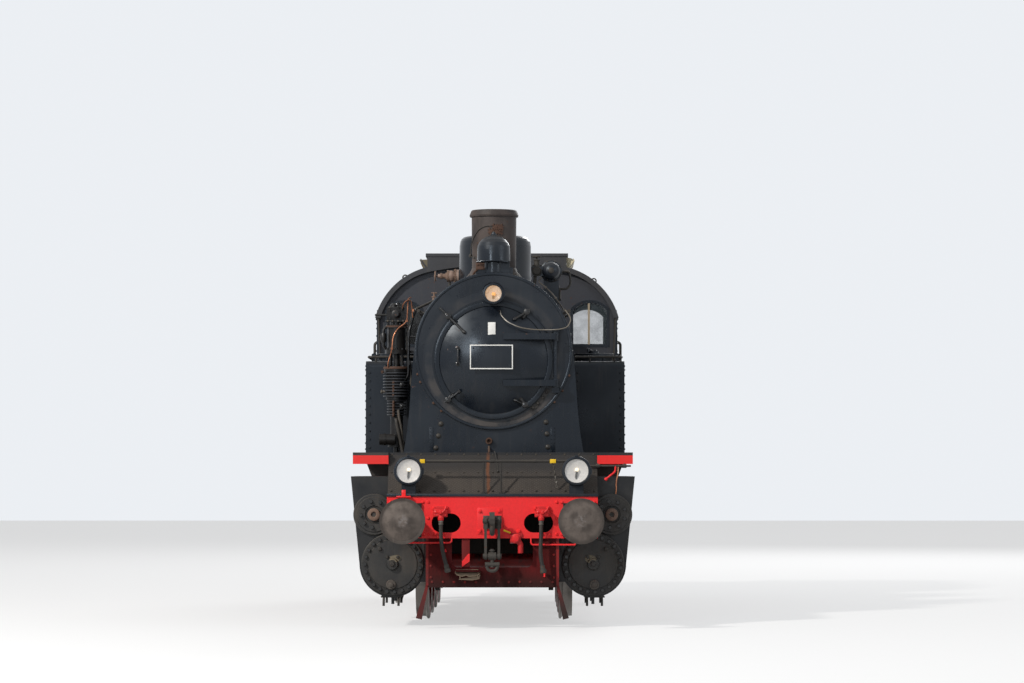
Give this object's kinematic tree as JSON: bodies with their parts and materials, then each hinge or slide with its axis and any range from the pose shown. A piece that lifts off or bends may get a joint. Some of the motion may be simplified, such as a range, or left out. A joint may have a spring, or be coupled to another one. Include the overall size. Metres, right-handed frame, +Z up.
{
  "type": "eight-coupled side-tank steam locomotive",
  "caption": "Standard-gauge side-tank steam locomotive with outside cylinders, coupled wheels, opening smokebox door, cab doors and tank lids.",
  "frame": {"origin": "on the line through the wheel flanges' lowest points, under the middle of the engine", "axes": "+Z up, the chimney end faces -Y, +X is the engine's left side"},
  "size_m": [2.942, 10.05, 4.298],
  "materials": {
    "black_paint": "black enamel, dusty and oily",
    "red_paint": "red enamel, worn and dirty",
    "worn_steel": "bare steel with grease and light rust",
    "rubber": "dusty rubber hose"
  },
  "bodies": {
    "frame": {"air_pump": "black_paint", "ashpan": "black_paint", "axleboxes": "black_paint", "backhead": "black_paint", "bell": "black_paint", "boiler": "black_paint", "brake_cocks": "red_paint", "brake_gear": "red_paint", "brake_hose_left": "rubber", "brake_hose_right": "rubber", "buffers": "worn_steel", "bunker": "black_paint", "cab_floor": "black_paint", "cab_front": "black_paint", "cab_rear": "black_paint", "cab_roof": "black_paint", "cab_sides": "black_paint", "cab_steps": "black_paint", "chimney": "black_paint", "cross_plates": "red_paint", "crossheads": "worn_steel", "cylinders": "black_paint", "dome": "black_paint", "door_hinge": "black_paint", "draw_gear": "worn_steel", "frame_plates": "red_paint", "front_beam": "red_paint", "handrails": "black_paint", "headlamps": "black_paint", "hose_head_left": "worn_steel", "hose_head_right": "worn_steel", "motion_brackets": "black_paint", "pipework": "worn_steel", "platform": "black_paint", "rear_beam": "red_paint", "reservoirs": "black_paint", "running_plate_brackets": "red_paint", "running_plates": "red_paint", "saddle": "black_paint", "slide_bars": "worn_steel", "smokebox": "black_paint", "tanks": "black_paint", "turbo_generator": "black_paint", "valve_gear": "worn_steel"},
    "wheelset_1": {"wheelset_1": "red_paint"},
    "wheelset_2": {"wheelset_2": "red_paint"},
    "wheelset_3": {"wheelset_3": "red_paint"},
    "wheelset_4": {"wheelset_4": "red_paint"},
    "coupling_rod_left": {"coupling_rod_left": "worn_steel"},
    "coupling_rod_right": {"coupling_rod_right": "worn_steel"},
    "main_rod_left": {"main_rod_left": "worn_steel"},
    "main_rod_right": {"main_rod_right": "worn_steel"},
    "eccentric_rod_left": {"eccentric_rod_left": "worn_steel"},
    "eccentric_rod_right": {"eccentric_rod_right": "worn_steel"},
    "smokebox_door": {"smokebox_door": "black_paint", "door_lamp": "black_paint"},
    "cab_door_left": {"cab_door_left": "black_paint"},
    "cab_door_right": {"cab_door_right": "black_paint"},
    "tank_lid_left": {"tank_lid_left": "black_paint"},
    "tank_lid_right": {"tank_lid_right": "black_paint"}
  },
  "joints": [
    {"name": "driving_wheels_turn", "type": "hinge", "parent": "frame", "child": "wheelset_3", "pos_m": [0, 0.7, 0.628], "axis": [1, 0, 0], "continuous": true},
    {"name": "wheelset_1_turn", "type": "hinge", "parent": "frame", "child": "wheelset_1", "pos_m": [0, -2.1, 0.628], "axis": [1, 0, 0], "continuous": true},
    {"name": "wheelset_2_turn", "type": "hinge", "parent": "frame", "child": "wheelset_2", "pos_m": [0, -0.7, 0.628], "axis": [1, 0, 0], "continuous": true},
    {"name": "wheelset_4_turn", "type": "hinge", "parent": "frame", "child": "wheelset_4", "pos_m": [0, 2.1, 0.628], "axis": [1, 0, 0], "continuous": true},
    {"name": "coupling_rod_left_swing", "type": "hinge", "parent": "wheelset_3", "child": "coupling_rod_left", "pos_m": [0.885, 0.50555, 0.82245], "axis": [1, 0, 0], "continuous": true},
    {"name": "main_rod_left_swing", "type": "hinge", "parent": "wheelset_3", "child": "main_rod_left", "pos_m": [1.011, 0.50555, 0.82245], "axis": [1, 0, 0], "continuous": true},
    {"name": "eccentric_rod_left_swing", "type": "hinge", "parent": "wheelset_3", "child": "eccentric_rod_left", "pos_m": [1.226, 0.78485, 0.71285], "axis": [1, 0, 0], "continuous": true},
    {"name": "coupling_rod_right_swing", "type": "hinge", "parent": "wheelset_3", "child": "coupling_rod_right", "pos_m": [-0.885, 0.50555, 0.43355], "axis": [1, 0, 0], "continuous": true},
    {"name": "main_rod_right_swing", "type": "hinge", "parent": "wheelset_3", "child": "main_rod_right", "pos_m": [-1.011, 0.50555, 0.43355], "axis": [1, 0, 0], "continuous": true},
    {"name": "eccentric_rod_right_swing", "type": "hinge", "parent": "wheelset_3", "child": "eccentric_rod_right", "pos_m": [-1.226, 0.61515, 0.71285], "axis": [1, 0, 0], "continuous": true},
    {"name": "smokebox_door_swing", "type": "hinge", "parent": "frame", "child": "smokebox_door", "pos_m": [0.64, -3.187, 2.711], "axis": [0, 0, 1], "range_deg": [0, 120]},
    {"name": "cab_door_left_swing", "type": "hinge", "parent": "frame", "child": "cab_door_left", "pos_m": [1.331, 2.826, 2.278], "axis": [0, 0, -1], "range_deg": [0, 90]},
    {"name": "tank_lid_left_lift", "type": "hinge", "parent": "frame", "child": "tank_lid_left", "pos_m": [1.342, -0.675, 2.8313], "axis": [0, 1, 0], "range_deg": [0, 95]},
    {"name": "cab_door_right_swing", "type": "hinge", "parent": "frame", "child": "cab_door_right", "pos_m": [-1.331, 2.826, 2.278], "axis": [0, 0, 1], "range_deg": [0, 90]},
    {"name": "tank_lid_right_lift", "type": "hinge", "parent": "frame", "child": "tank_lid_right", "pos_m": [-1.342, -0.675, 2.8313], "axis": [0, -1, 0], "range_deg": [0, 95]}
  ],
  "couplings": [
    {"joint": "wheelset_1_turn", "follows": "driving_wheels_turn", "ratio": 1},
    {"joint": "wheelset_2_turn", "follows": "driving_wheels_turn", "ratio": 1},
    {"joint": "wheelset_4_turn", "follows": "driving_wheels_turn", "ratio": 1},
    {"joint": "coupling_rod_left_swing", "follows": "driving_wheels_turn", "ratio": -1},
    {"joint": "main_rod_left_swing", "follows": "driving_wheels_turn", "ratio": -1},
    {"joint": "eccentric_rod_left_swing", "follows": "driving_wheels_turn", "ratio": -1},
    {"joint": "coupling_rod_right_swing", "follows": "driving_wheels_turn", "ratio": -1},
    {"joint": "main_rod_right_swing", "follows": "driving_wheels_turn", "ratio": -1},
    {"joint": "eccentric_rod_right_swing", "follows": "driving_wheels_turn", "ratio": -1}
  ]
}
